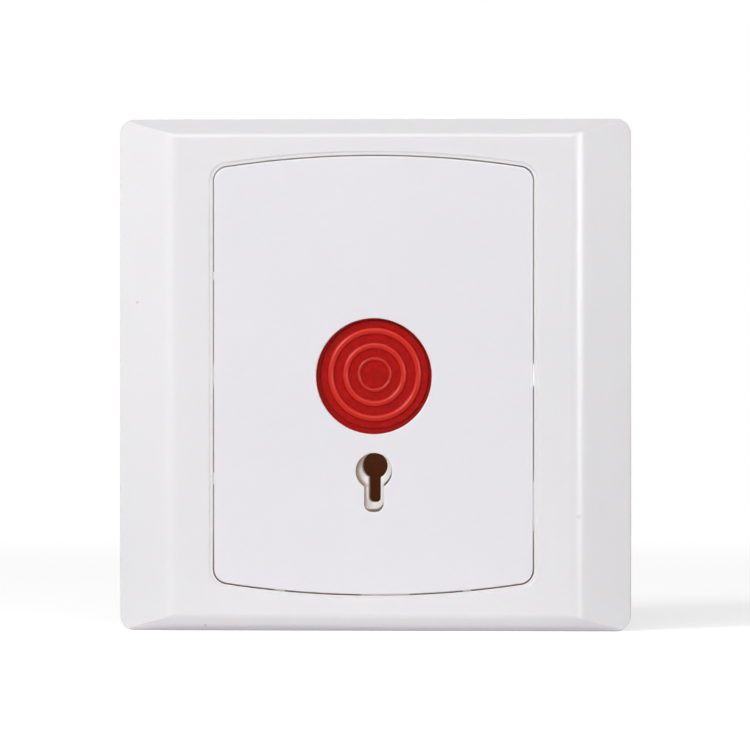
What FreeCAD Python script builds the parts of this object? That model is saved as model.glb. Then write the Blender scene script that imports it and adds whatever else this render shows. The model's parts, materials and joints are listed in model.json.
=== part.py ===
import FreeCAD, Part
import math
import os

# A wall-mounted panic button: a square bevelled frame round a barrel-shaped panel, a red ringed
# button that latches when pressed, and a keyhole through which a key sets it back.
# Millimetres. The wall is the plane y = 0, the front faces -Y, up is +Z, and the origin is the
# middle of the face that lies on the wall. "Front" is a piece's low y, "rear" its high y.

# Frame
frame_width = 86.0
frame_height = 86.0
frame_depth = 8.6            # from the wall to the front flat
frame_edge = 3.5             # upright edge, before the bevels start
frame_corner = 2.6
frame_wall = 1.6
side_bevel = 8.9             # how far the wide left and right bevels run inwards
end_bevel = 2.5              # the same for the narrow top and bottom bevels
side_ridge_radius = 5.0
end_ridge_radius = 1.3
edge_radius = 0.4
frame_rib = 1.0
frame_rib_height = 3.0
frame_rib_x = 14.0
frame_rib_z = 10.0
collar_wall = 1.2            # upright wall behind the window's edge
collar_depth = 1.8

# Panel in the frame's window, with straight sides and bowed ends
panel_width = 53.4
panel_height = 73.34
panel_bow_radius = 165.0
panel_corner = 2.35
panel_wall = 1.35
panel_setback = 0.2          # panel face behind the frame's front flat
panel_edge_radius = 0.25
seam_gap = 0.22
ledge_width = 0.55           # sunk step round the window
ledge_edge_radius = 0.1
window_edge_radius = 0.08    # also in the corner at the step's foot
skirt_wall = 1.2
skirt_depth = 2.15
hook_reach = 1.1
hook_wall = 0.8
hook_gap = 0.2
hook_length = 2.0
side_hook_z = 17.0
end_hook_x = 15.6
nib_reach = 0.17             # nibs that centre the panel in the window
nib_setback = 0.3
side_nibs = ((-1, 16.65, 1.35), (-1, -17.3, 2.0), (1, -21.8, 8.4))
low_nibs = ((-15.7, 1.7), (2.0, 8.2), (15.7, 1.35))

# Button's hole and keyhole in the panel, a little off its middle
hole_x = 0.1
hole_z = -0.15
button_hole_gap = 0.6
hole_edge_radius = 0.2
keyhole_radius = 3.05
keyhole_slot = 3.24
keyhole_drop = 3.15          # between the button's hole and the round part
keyhole_length = 6.83        # from the middle of the round part to the slot's bottom
keyhole_corner = 1.35

# The mechanism's axis lies a little off the panel's middle
axis_x = 0.2
axis_z = 0.13

# Red button
button_radius = 9.1
button_setback = 1.15        # disc behind the panel's face
button_edge_radius = 0.2
button_travel = 3.5
button_flange_lap = 0.7      # how far it reaches past the hole's edge
button_flange_wall = 1.3
button_flange_gap = 0.1      # from the panel's rear at rest
button_skirt_wall = 1.0
button_skirt_length = 3.45
hub_radius = 3.2
hub_length = 4.15
hub_roof = 0.5               # kept between the screw's hole and the disc
ridges = ((2.2, 2.95, 0.3), (4.1, 5.45, 0.5), (6.6, 7.95, 0.5))    # inner and outer radius, height

# Plunger behind the button
plunger_flange_radius = 8.0
plunger_flange_wall = 1.4
plunger_chamfer = 0.6
plunger_ring_wall = 0.9
plunger_ring_height = 1.5
stem_radius = 3.0
stem_overlap = 1.6           # how far the stem sits in its sleeve at rest
stem_bore = 2.1
stem_floor = 2.0
arm_x = 5.3                  # from the axis
arm_width = 4.0
arm_wall = 1.2
arm_low_z = 2.5
arm_root_z = 8.5
arm_top_z = 19.0
nub_radius = 1.0
nub_step = 0.6               # how far the nub stands out of the arm
nub_gap = 0.03               # from the switch's lever at rest

# Clearances
running_fit = 0.06
screw_fit = 0.02
slide_gap = 0.4
loose_gap = 0.3
touch_gap = 0.1

# Mounting plate
plate_wall = 2.4
plate_setback = 0.3          # the frame's rim meets the wall first
plate_margin = 0.6
plate_corner = 1.5
plate_edge_radius = 0.4
slot_spacing = 60.3
slot_radius = 2.25
slot_length = 9.0
rim_rib_inset = 2.2
rim_rib_wall = 1.2
rim_rib_height = 1.0
catch_x = 30.5
catch_z = 22.0
catch_wall = 2.5
catch_length = 8.0
catch_height = 2.2           # low enough to stay behind the window's collar
catch_lip = 0.6
catch_lip_wall = 0.8
snap_arm_wall = 1.2
snap_barb = 0.7
plate_boss_radius = 2.6
plate_boss_height = 2.0

# Housing, which hangs through the plate into the wall
housing_width = 46.0
housing_key_gap = 1.03       # between the key's guide and the housing's wall
housing_wall = 1.5
housing_corner = 2.0
parting_edge_radius = 0.25   # at the line where housing and rear cover meet
housing_lip = 1.2            # housing's rear edge behind the board
flange_side = 2.0            # how far the flange reaches past the housing's sides
flange_end = 5.0
flange_wall = 1.75
flange_corner = 3.0
housing_screw_x = 18.0
housing_screw_out = 2.5      # outside the housing's top and bottom
deck_wall = 1.4
deck_high_z = 12.8
sleeve_wall = 0.84
post_inset = 4.4             # from the housing's outside to a corner post's middle
post_radius = 2.4
web_wall = 1.2
board_post_radius = 2.2
board_post_x = 17.2
board_post_z = -2.0
catch_boss_depth = 1.8

# Cover on the housing's front, with the key's guide
cover_wall = 1.2
button_collar_wall = 1.2
button_collar_length = 1.05
guide_radius = 3.35
guide_slot = 3.9
guide_corner = 1.5
guide_off = (-0.35, -0.35)   # its middle from the key's axis
guide_rise = 0.41            # guide's bottom above the panel keyhole's bottom
guide_gap = 0.15             # guide face behind the panel's rear
guide_length = 5.4
key_x = 0.15                 # the key's axis
key_rise = 0.9               # over the middle of the panel's keyhole
key_radius = 2.2
key_slot = 2.08
key_corner = 0.85
key_bottom_rise = 1.57       # key slot's bottom above the panel keyhole's bottom
guide_edge_radius = 0.15

# Springs
spring_radius = 4.7
spring_wire = 0.6
spring_turns = 4.5
catch_strip = 0.3
catch_strip_gap = 1.45       # from the plunger flange's edge to the strip's middle
catch_tip_lap = 0.5          # how far the bump's middle reaches past that edge
catch_tip_length = 1.2
catch_ramp_z = 2.6
catch_depth = 1.3
catch_foot_length = 5.0
catch_foot_z = 7.5
catch_foot_height = 5.0
strip_end_z = -6.0

# Reset lever and its pin, with places from the key's axis
pivot = (13.0, 4.9)
key_end = (5.2, 3.5)
elbow = (8.0, 6.5)
catch_end_z = -4.65          # from the mechanism's axis
lever_setback = 0.2          # lever behind the catch's front edge
lever_wall = 1.8
lever_width = 2.0
lever_boss_radius = 2.1
pivot_bite = 0.8             # how far the pin's post reaches up into the deck
pivot_radius = 1.0
pivot_head_radius = 1.8
pivot_head = 0.6
pivot_grip = 4.0

# Circuit board and micro switch
board_gap = 2.4              # between the housing's deck and the board
board_wall = 1.6
board_margin = 0.3
board_corner = 1.0
switch_left_x = -15.6
switch_length = 12.8
switch_height = 6.5
switch_width = 5.8
switch_z = 17.0
switch_hinge = 1.0           # from the case's left end to its lever's axis
strip_wall = 0.3
strip_width = 4.0
strip_gap = 0.4              # from the case when the lever is down
strip_shoulder = 1.7
strip_end = 1.2
switch_button = 3.3          # from the lever's axis to the small plunger
switch_button_radius = 0.7
switch_button_length = 3.0
switch_button_round = 0.35
switch_button_gap = 0.14
knuckle_radius = 0.8
knuckle_width = 2.4
ear_height = 1.0
switch_pin_radius = 0.5
lead_pitch = 5.08
lead_width = 0.9
lead_wall = 0.5
lead_grip = 1.5
lead_out = 1.6
solder_radius = 1.1
solder_tip_radius = 0.75
solder_height = 0.9

# Terminal block on the board's rear
ways = 3
block_x = -2.54
block_low_z = -21.7
block_high_z = -13.7
block_depth = 9.2
block_floor = 1.2
block_wall = 1.0
block_edge_radius = 0.3
entry_width = 3.4
entry_height = 3.6
clamp_width = 4.0
clamp_height = 4.0
clamp_wall = 0.7
clamp_fit = 0.2
terminal_pin = 1.0
terminal_hole_radius = 2.0

# Rear cover
rear_gap = 0.4               # rear cover past the terminal block
rear_wall = 1.2
rear_edge_radius = 0.9
lap_depth = 1.0
lap_wall = 1.2
lap_gap = 0.2
lap_shoulder = 1.2
tube_radius = 2.6
window_gap = 0.2
wire_window = 4.8

# Screws: shank radius, head radius, head height, length under the head
housing_screw = (1.25, 2.3, 1.5, 5.2)
cover_screw = (1.1, 1.9, 1.0, 6.0)
board_screw = (0.85, 1.7, 1.1, 3.4)
rear_screw = (1.1, 2.0, 1.3, 15.2)
cap_screw = (1.2, 1.9, 1.2, 5.2)
catch_screw = (0.9, 1.7, 1.0, 3.2)
terminal_screw = (1.2, 1.8, 1.6, 2.8)
recess_width = 0.5           # cross recess in a screw's head
recess_depth = 0.6
recess_reach = 0.6           # share of the head's radius
head_round = 1 / 3           # share of the head's height that is rounded
head_gap = 0.3

# Cutting tools run past the faces that they cut by "past", and pieces that are joined share "bite"
past = 1.0
bite = 0.1
same = 0.01                  # places nearer than this are one place

# Faces that several pieces share
panel_face = -frame_depth + panel_setback
panel_rear = panel_face + panel_wall
button_hole_radius = button_radius + button_hole_gap
button_flange_radius = button_hole_radius + button_flange_lap
keyhole_z = hole_z - button_hole_radius - keyhole_drop - keyhole_radius
keyhole_bottom_z = keyhole_z - keyhole_length
key_z = keyhole_z + key_rise
key_bottom_z = keyhole_bottom_z + key_bottom_rise
guide_bottom_z = keyhole_bottom_z + guide_rise
housing_height = 2 * (housing_key_gap + housing_wall - guide_bottom_z)
plate_rear = -plate_setback
plate_front = plate_rear - plate_wall
flange_front = plate_front - flange_wall
cover_front = flange_front - cover_wall
cover_seat = cover_front + cover_wall / 2
guide_front = panel_rear + guide_gap
collar_rear = -frame_depth + frame_wall + collar_depth
button_face = panel_face + button_setback
button_flange_front = panel_rear + button_flange_gap
disc_rear = button_flange_front + button_flange_wall
hub_end = disc_rear + hub_length
plunger_rear = hub_end + plunger_flange_wall
sleeve_front = plunger_rear + button_travel + loose_gap
stem_end = sleeve_front + stem_overlap
stem_seat = hub_end + stem_floor
deck_front = plunger_rear + button_travel + spring_turns * spring_wire + touch_gap
deck_rear = deck_front + deck_wall
catch_front = hub_end + button_travel - touch_gap - catch_depth
catch_strip_x = plunger_flange_radius + catch_strip_gap
catch_tip_x = plunger_flange_radius - catch_tip_lap
lever_front = catch_front + lever_setback
pivot_post_front = lever_front + lever_wall + loose_gap
board_front = deck_rear + board_gap
board_rear = board_front + board_wall
housing_rear = board_rear + housing_lip
switch_front = board_front - switch_height
hinge_x = switch_left_x + switch_hinge
hinge_y = switch_front - strip_gap - strip_wall / 2
pusher_rest = hinge_y - strip_wall / 2 - touch_gap - button_travel
arm_rear = pusher_rest - nub_step
lever_reach = axis_x + arm_x - hinge_x
nub_rest = strip_wall / 2 + touch_gap + button_travel + nub_radius
nub_reach = strip_wall / 2 + nub_radius + nub_gap
lever_tilt = math.acos(nub_reach / math.hypot(nub_rest, lever_reach)) - math.atan2(lever_reach, nub_rest)
lead_places = [switch_left_x + switch_length / 2 + n * lead_pitch for n in (-1, 0, 1)]
way_places = [block_x + (n - (ways - 1) / 2) * lead_pitch for n in range(ways)]
way_z = (block_low_z + block_high_z) / 2
block_rear = board_rear + block_depth
rear_face = block_rear + rear_gap
clamp_front = board_rear + block_floor + clamp_fit
clamp_rear = clamp_front + clamp_height
rear_seat = rear_face - rear_wall - cover_wall / 2
post_x = housing_width / 2 - post_inset
post_z = housing_height / 2 - post_inset
corner_posts = [(sx * post_x, sz * post_z) for sx in (-1, 1) for sz in (-1, 1)]
housing_screw_z = housing_height / 2 + housing_screw_out
board_posts = [(sx * board_post_x, board_post_z) for sx in (-1, 1)]
housing_screws = [(sx * housing_screw_x, sz * housing_screw_z) for sx in (-1, 1) for sz in (-1, 1)]
catch_screw_place = (axis_x + catch_strip_x - catch_strip / 2 + catch_foot_length / 2, catch_foot_z)


def at(x, y, z):
    return FreeCAD.Vector(x, y, z)


def from_axis(place):
    """A place given from the mechanism's axis, as x and z from the panel's middle."""
    return axis_x + place[0], axis_z + place[1]


def from_key(place):
    """The same for a place given from the key's axis."""
    return key_x + place[0], key_z + place[1]


def block(x0, x1, y0, y1, z0, z1):
    return Part.makeBox(x1 - x0, y1 - y0, z1 - z0, at(x0, y0, z0))


def rod(radius, y0, y1, x=0.0, z=0.0):
    return Part.makeCylinder(radius, y1 - y0, at(x, y0, z), at(0, 1, 0))


def upright_rod(radius, z0, z1, x, y):
    return Part.makeCylinder(radius, z1 - z0, at(x, y, z0))


def joined(first, *others):
    """One solid from pieces that overlap, without seams between faces in one plane."""
    return first.fuse(list(others)).removeSplitter()


def group(solids):
    """Like pieces that share a node, as separate solids."""
    return Part.makeCompound(solids)


def closed(curves):
    """The curves in order, joined end to end by straight lines into one closed outline."""
    edges = []
    for n, curve in enumerate(curves):
        following = curves[(n + 1) % len(curves)]
        edges.append(curve.toShape())
        if curve.EndPoint.distanceToPoint(following.StartPoint) > same:
            edges.append(Part.LineSegment(curve.EndPoint, following.StartPoint).toShape())
    return Part.Wire(edges)


def pushed(outline, y0, y1):
    """A solid that has this outline from y0 to y1."""
    moved = outline.copy()
    moved.translate(at(0, y0, 0))
    return Part.Face(moved).extrude(at(0, y1 - y0, 0))


def in_layer(edge, y):
    return abs(edge.BoundBox.YMin - y) < same and abs(edge.BoundBox.YMax - y) < same


def softened(shape, radius, y):
    """The shape with its edges in the plane at y rounded."""
    return shape.makeFillet(radius, [e for e in shape.Edges if in_layer(e, y)])


def arc(x, z, radius, start, end):
    """Arc about (x, z) in the plane y = 0, between two angles in degrees from +X towards +Z."""
    angles = [math.radians(a) for a in (start, (start + end) / 2, end)]
    return Part.Arc(*[at(x + radius * math.cos(a), 0, z + radius * math.sin(a)) for a in angles])


def rounded(width, height, corner, y0, y1, x=0.0, z=0.0):
    """Rectangular block with round corners."""
    w = width / 2 - corner
    h = height / 2 - corner
    corners = ((1, 1, 0), (-1, 1, 90), (-1, -1, 180), (1, -1, 270))
    return pushed(closed([arc(x + i * w, z + j * h, corner, a, a + 90) for i, j, a in corners]), y0, y1)


def barrel(grow, y0, y1):
    """The panel's outline grown all round: straight sides, bowed ends, and corners tangent to both."""
    half = panel_width / 2 + grow
    bow = panel_bow_radius + grow
    corner = panel_corner + grow
    bow_z = panel_height / 2 + grow - bow
    corner_x = half - corner
    corner_rise = math.sqrt((bow - corner) ** 2 - corner_x**2)
    corner_z = bow_z + corner_rise
    turn = math.degrees(math.atan2(corner_rise, corner_x))
    curves = [
        arc(corner_x, corner_z, corner, 0, turn),
        arc(0, bow_z, bow, turn, 180 - turn),
        arc(-corner_x, corner_z, corner, 180 - turn, 180),
        arc(-corner_x, -corner_z, corner, 180, 180 + turn),
        arc(0, -bow_z, bow, 180 + turn, 360 - turn),
        arc(corner_x, -corner_z, corner, 360 - turn, 360),
    ]
    return pushed(closed(curves), y0, y1)


def keyhole(x, z, radius, slot, bottom_z, corner, y0, y1):
    """A round hole with a slot below it."""
    half = slot / 2
    meet = math.degrees(math.asin(half / radius))
    curves = [
        arc(x, z, radius, meet - 90, 270 - meet),
        arc(x - half + corner, bottom_z + corner, corner, 180, 270),
        arc(x + half - corner, bottom_z + corner, corner, 270, 360),
    ]
    return pushed(closed(curves), y0, y1)


def bar(places, width, y0, y1):
    """A flat bar of one width along a line of places, with round ends and elbows."""
    pieces = [rod(width / 2, y0, y1, x, z) for x, z in places]
    for (x0, z0), (x1, z1) in zip(places, places[1:]):
        length = math.hypot(x1 - x0, z1 - z0)
        piece = block(0, length, y0, y1, -width / 2, width / 2)
        piece.rotate(at(0, 0, 0), at(0, 1, 0), -math.degrees(math.atan2(z1 - z0, x1 - x0)))
        piece.translate(at(x0, 0, z0))
        pieces.append(piece)
    return joined(*pieces)


def rounded_corners(corners):
    """Closed outline through (point, radius) corners, each rounded where its radius isn't 0."""
    curves = []
    for n, (point, radius) in enumerate(corners):
        before = (corners[n - 1][0] - point).normalize()
        after = (corners[(n + 1) % len(corners)][0] - point).normalize()
        if radius:
            half = before.getAngle(after) / 2
            reach = radius / math.tan(half)
            inward = (before + after).normalize()
            middle = point + inward * (radius / math.sin(half) - radius)
            curves.append(Part.Arc(point + before * reach, middle, point + after * reach))
        else:
            following = corners[(n + 1) % len(corners)]
            curves.append(Part.LineSegment(point, point + after * (following[0] - point).Length / 2))
    return closed(curves)


def bevel(half, run, inset):
    """Half a bevelled section from wall to front, as (distance from the middle, depth), moved in."""
    slope = math.atan2(frame_depth - frame_edge, run)
    edge = frame_edge - inset * (1 - math.sin(slope)) / math.cos(slope)
    front = frame_depth - inset
    inner = half - (inset + (front - frame_edge) * math.cos(slope)) / math.sin(slope)
    return (half - inset, edge), (inner, front)


def bevelled(inset, back):
    """The frame's outer form moved in by an inset. It is what three bars share: one with the side
    bevels' section, one with the end bevels' section and one with the rounded square outline."""
    edge = max(edge_radius - inset, 0)
    side, ridge = bevel(frame_width / 2, side_bevel, inset)
    radius = max(side_ridge_radius - inset, 0)
    corners = [
        (at(side[0], back, 0), 0),
        (at(side[0], -side[1], 0), edge),
        (at(ridge[0], -ridge[1], 0), radius),
    ]
    corners += [(at(-p.x, p.y, 0), r) for p, r in reversed(corners)]
    sides = Part.Face(rounded_corners(corners)).extrude(at(0, 0, frame_height))
    sides.translate(at(0, 0, -frame_height / 2))
    side, ridge = bevel(frame_height / 2, end_bevel, inset)
    radius = max(end_ridge_radius - inset, 0)
    corners = [
        (at(0, back, side[0]), 0),
        (at(0, -side[1], side[0]), edge),
        (at(0, -ridge[1], ridge[0]), radius),
    ]
    corners += [(at(0, p.y, -p.z), r) for p, r in reversed(corners)]
    ends = Part.Face(rounded_corners(corners)).extrude(at(frame_width, 0, 0))
    ends.translate(at(-frame_width / 2, 0, 0))
    plan = rounded(
        frame_width - 2 * inset, frame_height - 2 * inset, frame_corner - inset, -frame_depth, back
    )
    return sides.common(ends).common(plan)


def pan_screw(size, x, seat, z, way=1):
    """Screw with a pan head and a cross recess. Its shank runs towards +Y for way 1, -Y for way -1."""
    radius, head_radius, head, length = size
    shank = rod(radius, 0, length)
    top = rod(head_radius, -head, 0)
    rim = [e for e in top.Edges if e.Closed and e.CenterOfMass.y < -head + same]
    top = top.makeFillet(head * head_round, rim)
    arm = head_radius * recess_reach
    recess = block(-arm, arm, -head, -head + recess_depth, -recess_width / 2, recess_width / 2)
    recess = recess.fuse(block(-recess_width / 2, recess_width / 2, -head, -head + recess_depth, -arm, arm))
    screw = joined(shank, top).cut(recess)
    if way < 0:
        screw.rotate(at(0, 0, 0), at(1, 0, 0), 180)
    screw.translate(at(x, seat, z))
    return screw


def screw_hole(size, y0, y1, x, z):
    """Hole that a screw's thread holds in."""
    return rod(size[0] + screw_fit, y0, y1, x, z)


def clearance_hole(size, y0, y1, x, z):
    return rod(size[0] + loose_gap, y0, y1, x, z)


def outer_frame():
    shell = bevelled(0, 0).cut(bevelled(frame_wall, past))
    collar = barrel(seam_gap + collar_wall, -frame_depth + frame_wall / 2, collar_rear)
    shell = shell.fuse(collar)
    rib_front = -frame_depth + frame_wall / 2
    rib_rear = -frame_depth + frame_wall + frame_rib_height
    inside = bevelled(frame_wall / 2, 0)
    x0 = panel_width / 2 + seam_gap + collar_wall / 2
    z0 = panel_height / 2 + seam_gap - collar_wall / 2
    ribs = []
    for sx in (-1, 1):
        for sz in (-1, 1):
            reach = sorted((sx * x0, sx * frame_width / 2))
            z = sz * frame_rib_z
            ribs.append(block(*reach, rib_front, rib_rear, z - frame_rib / 2, z + frame_rib / 2))
            reach = sorted((sz * z0, sz * frame_height / 2))
            x = sx * frame_rib_x
            ribs.append(block(x - frame_rib / 2, x + frame_rib / 2, rib_front, rib_rear, *reach))
    for rib in ribs:
        shell = shell.fuse(rib.common(inside))
    for sx in (-1, 1):
        for sz in (-1, 1):
            shell = shell.fuse(snap_arm(sx, sz * catch_z))
    ledge = barrel(seam_gap + ledge_width, -frame_depth - past, panel_face)
    window = barrel(seam_gap, -frame_depth - past, 0)
    shell = shell.cut(ledge).cut(window).removeSplitter()
    lip = [e for e in shell.Edges if in_layer(e, -frame_depth) and inside_ridges(e)]
    shell = shell.makeFillet(ledge_edge_radius, lip)
    return softened(shell, window_edge_radius, panel_face)


def inside_ridges(edge):
    """Whether an edge lies well inside the frame's bevels, as the window's edges do."""
    reach = max(abs(edge.BoundBox.XMin), abs(edge.BoundBox.XMax))
    rise = max(abs(edge.BoundBox.ZMin), abs(edge.BoundBox.ZMax))
    return reach < frame_width / 2 - side_bevel - same and rise < frame_height / 2 - end_bevel - same


def snap_arm(side, z):
    """Arm inside the frame whose barb snaps behind a catch's lip on the plate."""
    inner = catch_x + catch_wall + catch_lip + loose_gap
    lip_rear = plate_front - catch_height + catch_lip_wall
    barb_front = lip_rear + hook_gap
    end = barb_front + hook_wall
    half = catch_length / 2 - loose_gap
    arm = block(inner, inner + snap_arm_wall, -frame_depth + frame_wall / 2, end, z - half, z + half)
    barb = block(inner - snap_barb, inner, barb_front, end, z - half, z + half)
    arm = joined(arm, barb).common(bevelled(frame_wall / 2, 0))
    return arm if side > 0 else arm.mirror(at(0, 0, 0), at(1, 0, 0))


def centre_panel():
    plate = barrel(0, panel_face, panel_rear)
    holes = rod(button_hole_radius, panel_face - past, panel_rear + past, hole_x, hole_z).fuse(
        keyhole(hole_x, keyhole_z, keyhole_radius, keyhole_slot, keyhole_bottom_z, keyhole_corner,
                panel_face - past, panel_rear + past)
    )
    plate = plate.cut(holes)
    outer = [e for e in plate.Edges if e.BoundBox.YMax < panel_face + same and on_outline(e)]
    plate = plate.makeFillet(panel_edge_radius, outer)
    rims = [e for e in plate.Edges if e.BoundBox.YMax < panel_face + same and not on_outline(e)]
    plate = plate.makeFillet(hole_edge_radius, rims)
    skirt = barrel(0, panel_rear - panel_wall / 2, panel_rear + skirt_depth)
    skirt = skirt.cut(barrel(-skirt_wall, panel_rear - panel_wall, panel_rear + skirt_depth + past))
    pieces = [skirt] + panel_hooks() + panel_nibs()
    return joined(plate, *pieces)


def on_outline(edge):
    """Whether an edge of the panel's face runs near the outline, and not round one of its holes."""
    middle = edge.valueAt((edge.FirstParameter + edge.LastParameter) / 2)
    near_side = abs(middle.x) > panel_width / 2 - panel_corner
    near_end = abs(middle.z) > panel_height / 2 - panel_corner
    return near_side or near_end


def bow_z(x):
    """Height of the panel's bowed end over its middle line, at a distance from the middle."""
    return panel_height / 2 - panel_bow_radius + math.sqrt(panel_bow_radius**2 - x**2)


def panel_hooks():
    """Hooks on the skirt that snap behind the frame's collar: one pair on each side and each end."""
    front = collar_rear + hook_gap
    rear = front + hook_wall
    half = hook_length / 2
    hooks = []
    for s in (-1, 1):
        for t in (-1, 1):
            z = t * side_hook_z
            root = s * (panel_width / 2 - skirt_wall)
            edge = s * panel_width / 2
            tip = s * (panel_width / 2 + hook_reach)
            hooks.append(block(*sorted((root, edge)), panel_rear, rear, z - half, z + half))
            hooks.append(block(*sorted((root, tip)), front, rear, z - half, z + half))
            x = t * end_hook_x
            root = s * (bow_z(x) - skirt_wall)
            edge = s * bow_z(abs(x) + half)
            tip = s * (bow_z(x) + hook_reach)
            hooks.append(block(x - half, x + half, panel_rear, rear, *sorted((root, edge))))
            hooks.append(block(x - half, x + half, front, rear, *sorted((root, tip))))
    return hooks


def panel_nibs():
    """Low pads on the panel's edge that fill the seam where they stand."""
    front = panel_face + nib_setback
    nibs = []
    for side, z, length in side_nibs:
        reach = sorted((side * (panel_width / 2 - skirt_wall), side * (panel_width / 2 + nib_reach)))
        nibs.append(block(*reach, front, panel_rear, z - length / 2, z + length / 2))
    for x, length in low_nibs:
        pad = barrel(nib_reach, front, panel_rear)
        inner = skirt_wall - bow_z(x)
        strip = block(x - length / 2, x + length / 2, front, panel_rear, -panel_height, inner)
        nibs.append(pad.common(strip))
    return nibs


def mounting_plate():
    gap = 2 * (frame_wall + plate_margin)
    width = frame_width - gap
    height = frame_height - gap
    plate = rounded(width, height, plate_corner, plate_front, plate_rear)
    plate = softened(plate, plate_edge_radius, plate_rear)
    outer = rounded(width - 2 * rim_rib_inset, height - 2 * rim_rib_inset, plate_corner,
                    plate_front - rim_rib_height, plate_front + bite)
    inset = 2 * (rim_rib_inset + rim_rib_wall)
    inner = rounded(width - inset, height - inset, plate_corner / 2,
                    plate_front - rim_rib_height - past, plate_front + past)
    plate = plate.fuse(outer.cut(inner))
    for sx in (-1, 1):
        for sz in (-1, 1):
            plate = plate.fuse(plate_catch(sx, sz * catch_z))
    for x, z in housing_screws:
        plate = plate.fuse(rod(plate_boss_radius, plate_front, plate_rear + plate_boss_height, x, z))
    opening = rounded(housing_width + 2 * loose_gap, housing_height + 2 * loose_gap, housing_corner,
                      plate_front - past, plate_rear + plate_boss_height + past)
    plate = plate.cut(opening)
    for sx in (-1, 1):
        x = sx * slot_spacing / 2
        slot = bar([(x - slot_length / 2 + slot_radius, 0), (x + slot_length / 2 - slot_radius, 0)],
                   2 * slot_radius, plate_front - past, plate_rear + past)
        plate = plate.cut(slot)
    for x, z in housing_screws:
        hole_end = plate_rear + plate_boss_height + past
        plate = plate.cut(screw_hole(housing_screw, plate_front - past, hole_end, x, z))
    return plate.removeSplitter()


def plate_catch(side, z):
    """Post on the plate with a lip that the frame's arm snaps behind."""
    front = plate_front - catch_height
    half = catch_length / 2
    lip_x = catch_x + catch_wall + catch_lip
    post = block(catch_x, catch_x + catch_wall, front, plate_front + bite, z - half, z + half)
    lip = block(catch_x, lip_x, front, front + catch_lip_wall, z - half, z + half)
    post = joined(post, lip)
    return post if side > 0 else post.mirror(at(0, 0, 0), at(1, 0, 0))


def mechanism_housing():
    inner_width = housing_width - 2 * housing_wall
    inner_height = housing_height - 2 * housing_wall
    inner_corner = housing_corner - housing_wall / 2
    walls = rounded(housing_width, housing_height, housing_corner, flange_front, housing_rear)
    walls = softened(walls, parting_edge_radius, housing_rear)
    walls = walls.fuse(rounded(housing_width + 2 * flange_side, housing_height + 2 * flange_end,
                               flange_corner, flange_front, plate_front))
    room = rounded(inner_width, inner_height, inner_corner, flange_front - past, housing_rear + past)
    body = walls.cut(room)
    half = inner_width / 2 + housing_wall / 2
    pivot_x, pivot_z = from_key(pivot)
    deck_low_z = pivot_z + post_radius - pivot_bite
    inside = [
        block(-half, half, deck_front, deck_rear, deck_low_z, deck_high_z),
        rod(stem_radius + running_fit + sleeve_wall, sleeve_front, deck_rear, axis_x, axis_z),
        rod(post_radius, pivot_post_front, deck_rear, pivot_x, pivot_z),
        rod(board_post_radius, deck_front, deck_rear + catch_boss_depth, *catch_screw_place),
    ]
    for x, z in corner_posts:
        inside.append(rod(post_radius, flange_front, board_front, x, z))
        wall_x = math.copysign((housing_width - housing_wall) / 2, x)
        wall_z = math.copysign((housing_height - housing_wall) / 2, z)
        low, high = z - web_wall / 2, z + web_wall / 2
        inside.append(block(*sorted((x, wall_x)), flange_front, board_front, low, high))
        low, high = x - web_wall / 2, x + web_wall / 2
        inside.append(block(low, high, flange_front, board_front, *sorted((z, wall_z))))
    for x, z in board_posts:
        inside.append(rod(board_post_radius, deck_front, board_front, x, z))
    body = joined(body, *inside)
    body = body.cut(rod(stem_radius + running_fit, sleeve_front - past, deck_rear + past, axis_x, axis_z))
    pin_end = pivot_post_front + pivot_grip + past
    body = body.cut(rod(pivot_radius + screw_fit, pivot_post_front - past, pin_end, pivot_x, pivot_z))
    boss_end = deck_rear + catch_boss_depth + past
    body = body.cut(screw_hole(catch_screw, deck_front - past, boss_end, *catch_screw_place))
    for x, z in corner_posts:
        cover_end = cover_seat + cover_screw[3] + past
        body = body.cut(screw_hole(cover_screw, flange_front - past, cover_end, x, z))
        body = body.cut(screw_hole(rear_screw, rear_seat - rear_screw[3] - past, board_front + past, x, z))
    for x, z in board_posts:
        hole_front = board_rear - board_screw[3] - bite
        body = body.cut(screw_hole(board_screw, hole_front, board_front + past, x, z))
    for x, z in housing_screws:
        body = body.cut(clearance_hole(housing_screw, flange_front - past, plate_front + past, x, z))
    return body


def mechanism_cover():
    plate = rounded(housing_width, housing_height, housing_corner, cover_front, flange_front)
    bore = button_flange_radius + slide_gap
    collar_end = flange_front + button_collar_length
    collar = rod(bore + button_collar_wall, cover_front, collar_end, axis_x, axis_z)
    guide_x, guide_z = from_key(guide_off)
    guide = keyhole(guide_x, guide_z, guide_radius, guide_slot, guide_bottom_z, guide_corner,
                    guide_front, guide_front + guide_length)
    cover = joined(plate, collar, guide)
    cover = cover.cut(rod(bore, cover_front - past, collar_end + past, axis_x, axis_z))
    cover = cover.cut(keyhole(key_x, key_z, key_radius, key_slot, key_bottom_z, key_corner,
                              guide_front - past, guide_front + guide_length + past))
    for x, z in corner_posts:
        cover = cover.cut(rod(cover_screw[1] + head_gap, cover_front - past, cover_seat, x, z))
        cover = cover.cut(clearance_hole(cover_screw, cover_front, flange_front + past, x, z))
    return softened(cover, guide_edge_radius, guide_front)


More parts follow.
